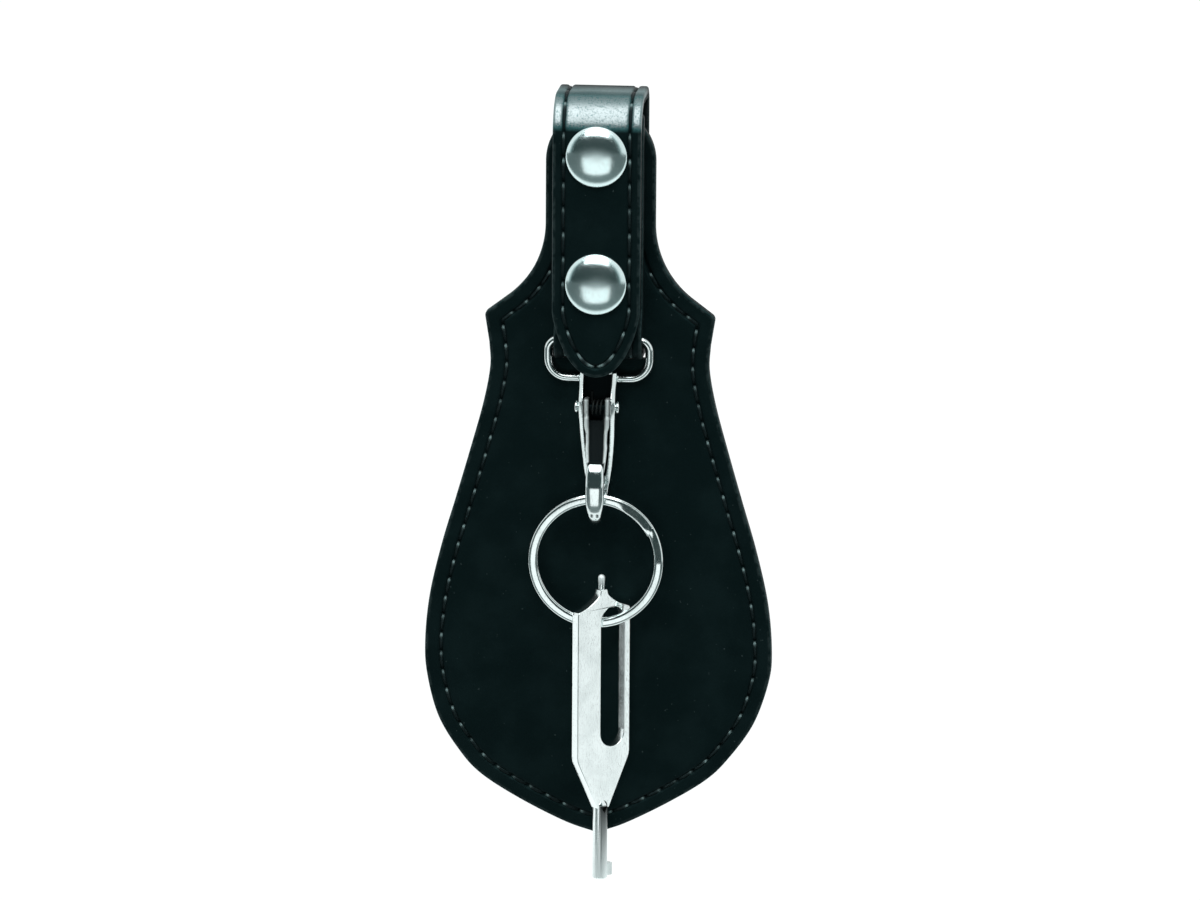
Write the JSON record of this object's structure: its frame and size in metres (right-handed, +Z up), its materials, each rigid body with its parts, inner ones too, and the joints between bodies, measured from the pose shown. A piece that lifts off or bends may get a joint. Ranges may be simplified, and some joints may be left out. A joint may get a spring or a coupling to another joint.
{
  "type": "belt key holder",
  "caption": "Leather key holder: a strap loop snaps round a duty belt, with a sewn backing flap, a gated hook, a split ring and a slotted key.",
  "frame": {"origin": "middle of the strap's inner face that rests on the belt's top edge", "axes": "+Z up, -Y forward away from the wearer, +X to the right of someone who looks at the front"},
  "size_m": [0.0852, 0.0263, 0.1944],
  "materials": {
    "leather": "smooth, waxed, glossy at the bend",
    "lining": "matte",
    "thread": "waxed thread",
    "nickel": "polished nickel plate",
    "spring_steel": "plain wire",
    "key_steel": "satin nickel plate"
  },
  "bodies": {
    "loop_and_flap": {"strap_lining_loop": "lining", "strap_outer_loop": "leather", "flap_lining": "lining", "flap_face": "leather", "flap_thread_front": "thread", "flap_thread_back": "thread", "snap_stud_upper": "nickel", "snap_stud_lower": "nickel", "snap_post_upper": "nickel", "snap_post_lower": "nickel"},
    "strap_tail": {"strap_lining_tail": "lining", "strap_outer_tail": "leather", "tail_thread_outer": "thread", "tail_thread_inner": "thread", "snap_cap_upper": "nickel", "snap_cap_lower": "nickel", "snap_socket_upper": "nickel", "snap_socket_lower": "nickel", "snap_spring_upper": "spring_steel", "snap_spring_lower": "spring_steel"},
    "hook": {"hook_body": "nickel", "gate_pin": "nickel", "gate_spring": "spring_steel"},
    "gate": {"hook_gate": "nickel"},
    "ring": {"split_ring": "nickel"},
    "key": {"flat_key": "key_steel"}
  },
  "joints": [
    {"name": "tail_lift", "type": "hinge", "parent": "loop_and_flap", "child": "strap_tail", "pos_m": [0, -0.01237, 0.00116], "axis": [-1, 0, 0], "range_deg": [0, 110], "deforming": ["snap_spring_upper", "snap_spring_lower"]},
    {"name": "hook_swing", "type": "hinge", "parent": "loop_and_flap", "child": "hook", "pos_m": [0, -0.00755, -0.0584], "axis": [-1, 0, 0], "range_deg": [0, 25]},
    {"name": "gate_open", "type": "hinge", "parent": "hook", "child": "gate", "pos_m": [0, -0.0109, -0.0744], "axis": [1, 0, 0], "range_deg": [0, 16], "stiffness_Nm_per_rad": 0.01, "springref_deg": -28.65, "deforming": ["gate_spring"]},
    {"name": "ring_swing", "type": "hinge", "parent": "hook", "child": "ring", "pos_m": [0, -0.01195, -0.0955], "axis": [-1, 0, 0], "range_deg": [0, 80]},
    {"name": "key_swing", "type": "hinge", "parent": "ring", "child": "key", "pos_m": [0, -0.01195, -0.12753], "axis": [-1, 0, 0], "range_deg": [0, 25]}
  ]
}
